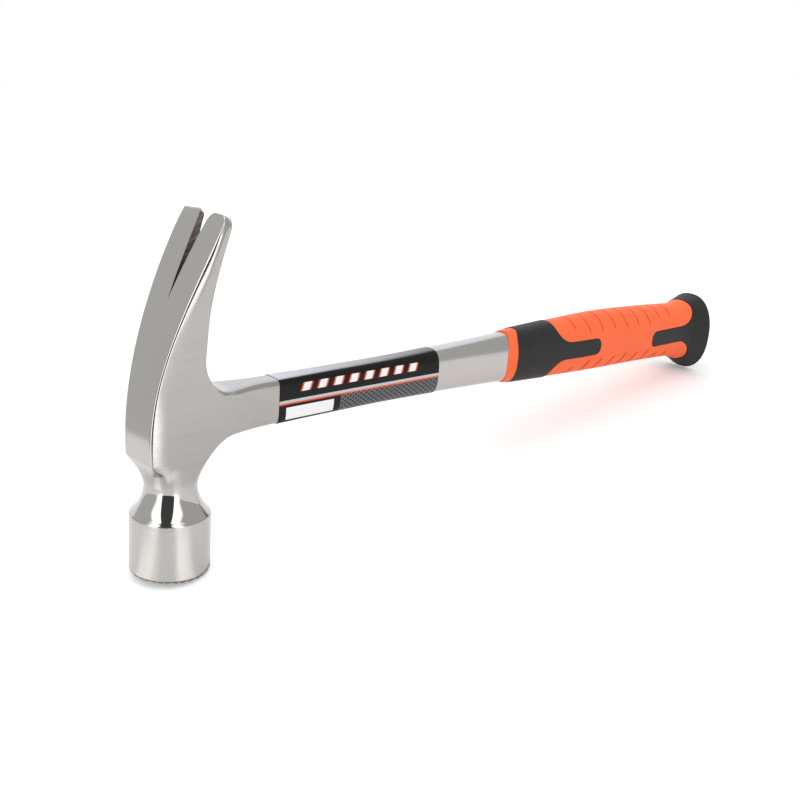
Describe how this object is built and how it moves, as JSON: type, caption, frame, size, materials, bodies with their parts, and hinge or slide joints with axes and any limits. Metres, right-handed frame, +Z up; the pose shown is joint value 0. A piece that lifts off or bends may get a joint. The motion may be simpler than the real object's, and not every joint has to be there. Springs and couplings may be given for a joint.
{
  "type": "framing hammer",
  "caption": "One-piece forged steel framing hammer with a straight rip claw, a milled waffle face and a two-colour moulded grip with a flared butt.",
  "frame": {"origin": "centre of the striking face, 1.5 mm above the level floor that the hammer stands on", "axes": "+Z up from the floor, +X level from the head toward the butt, +Y to the far side; the hammer stands on the rim of its face and on its butt, so the head leans 5.6 degrees from Z"},
  "size_m": [0.3856, 0.033, 0.1465],
  "materials": {
    "steel": "satin ground forging with a polished neck",
    "grip_orange": "soft orange moulding with thin grooves",
    "grip_black": "matte black overmould",
    "label_film": "glossy film wrapped round the shank"
  },
  "bodies": {
    "root": {"forging": "steel", "grip_core": "grip_orange", "front_sleeve": "grip_black", "butt_cap": "grip_black", "shank_label": "label_film"}
  },
  "joints": []
}
